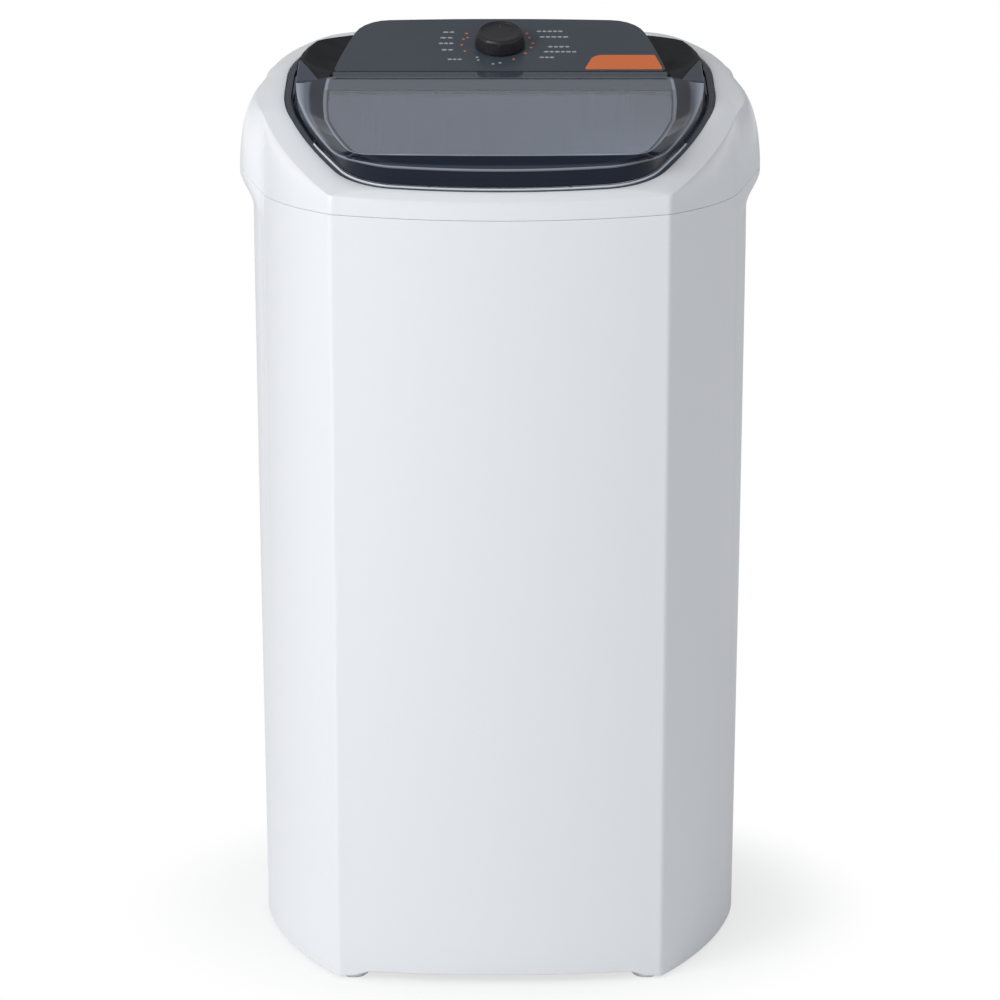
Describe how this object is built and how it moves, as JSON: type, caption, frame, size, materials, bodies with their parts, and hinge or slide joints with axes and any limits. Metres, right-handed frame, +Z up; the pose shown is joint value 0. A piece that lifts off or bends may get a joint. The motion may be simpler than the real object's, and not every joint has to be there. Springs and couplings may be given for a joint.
{
  "type": "semi-automatic washing machine",
  "caption": "Tall top-loading tub washer: eight-sided white plastic cabinet, sloping top with a smoked hinged lid, dial on a slanted panel, impeller tub and belt drive inside.",
  "frame": {"origin": "centre of the footprint on the floor, under the feet", "axes": "+Z up, the front panel faces -Y, +X to the right of a person facing the front"},
  "size_m": [0.5748, 0.5995, 1.0026],
  "materials": {
    "cabinet_white": "gloss moulded plastic",
    "foot_plastic": "matt moulded plastic",
    "screw_steel": "zinc plated",
    "trim_navy": "gloss",
    "tub_plastic": "satin moulded plastic",
    "impeller_plastic": "satin",
    "smoked_lid": "clear plastic tinted dark blue-grey",
    "rubber": "matt",
    "console_black": "gloss",
    "panel_slate": "fine satin",
    "accent_orange": "satin",
    "knob_black": "satin",
    "timer_plastic": "matt",
    "shaft_steel": "ground",
    "filter_blue": "matt",
    "drain_plastic": "matt",
    "cast_metal": "die cast",
    "bush_bronze": "sintered",
    "pulley_plastic": "matt",
    "pulley_steel": "turned",
    "bracket_steel": "zinc plated sheet",
    "motor_paint": "satin paint",
    "lamination_steel": "stacked laminations",
    "winding_copper": "enamelled copper wire",
    "fan_plastic": "matt"
  },
  "bodies": {
    "cabinet": {"body_shell": "cabinet_white", "base_plate": "cabinet_white", "foot_front_left": "foot_plastic", "foot_front_right": "foot_plastic", "foot_rear_left": "foot_plastic", "foot_rear_right": "foot_plastic", "base_screws": "screw_steel", "top_cover": "cabinet_white", "cover_screws": "screw_steel", "opening_bezel": "trim_navy", "tub_collar": "tub_plastic", "lid_buffers": "rubber", "hinge_cover_left": "trim_navy", "hinge_cover_right": "trim_navy", "console_housing": "console_black", "control_panel": "panel_slate", "accent_plate": "accent_orange", "timer_body": "timer_plastic", "timer_screws": "screw_steel", "wash_tub": "tub_plastic", "filter_holder": "tub_plastic", "drain_strainer": "tub_plastic", "drain_elbow": "drain_plastic", "drain_hose": "rubber", "drain_socket": "drain_plastic", "cord_gland": "rubber", "bearing_housing": "cast_metal", "upper_bush": "bush_bronze", "lower_bush": "bush_bronze", "shaft_seal": "rubber", "drive_belt": "rubber", "motor_bracket": "bracket_steel", "bracket_bolts": "screw_steel", "motor_mounts": "rubber", "motor_housing": "motor_paint", "motor_end_cap": "cast_metal", "motor_stator": "lamination_steel", "motor_windings": "winding_copper", "capacitor": "fan_plastic", "capacitor_clip": "bracket_steel"},
    "lid": {"lid": "smoked_lid"},
    "timer_dial": {"timer_shaft": "shaft_steel", "timer_knob": "knob_black"},
    "impeller_drive": {"drive_shaft": "shaft_steel", "impeller": "impeller_plastic", "impeller_cap": "tub_plastic", "drive_pulley": "pulley_plastic", "pulley_nut": "screw_steel"},
    "motor_rotor": {"motor_shaft": "shaft_steel", "motor_fan": "fan_plastic", "motor_pulley": "pulley_steel"},
    "lint_filter": {"lint_filter": "filter_blue"}
  },
  "joints": [
    {"name": "lid_hinge", "type": "hinge", "parent": "cabinet", "child": "lid", "pos_m": [0, -0.006, 0.9435], "axis": [-1, 0, 0], "range_deg": [0, 107]},
    {"name": "timer_turn", "type": "hinge", "parent": "cabinet", "child": "timer_dial", "pos_m": [0, 0.05954, 0.97369], "axis": [0, -0.4305, 0.9026], "range_deg": [-300, 0]},
    {"name": "impeller_spin", "type": "hinge", "parent": "cabinet", "child": "impeller_drive", "pos_m": [0, -0.01, 0.2], "axis": [0, 0, 1], "continuous": true},
    {"name": "motor_spin", "type": "hinge", "parent": "cabinet", "child": "motor_rotor", "pos_m": [0.12, 0.15, 0.15], "axis": [0, 0, 1], "continuous": true},
    {"name": "filter_lift", "type": "slide", "parent": "cabinet", "child": "lint_filter", "axis": [0, 0, 1], "range_m": [0, 0.15]}
  ],
  "couplings": [
    {"joint": "motor_spin", "follows": "impeller_spin", "ratio": 4}
  ]
}
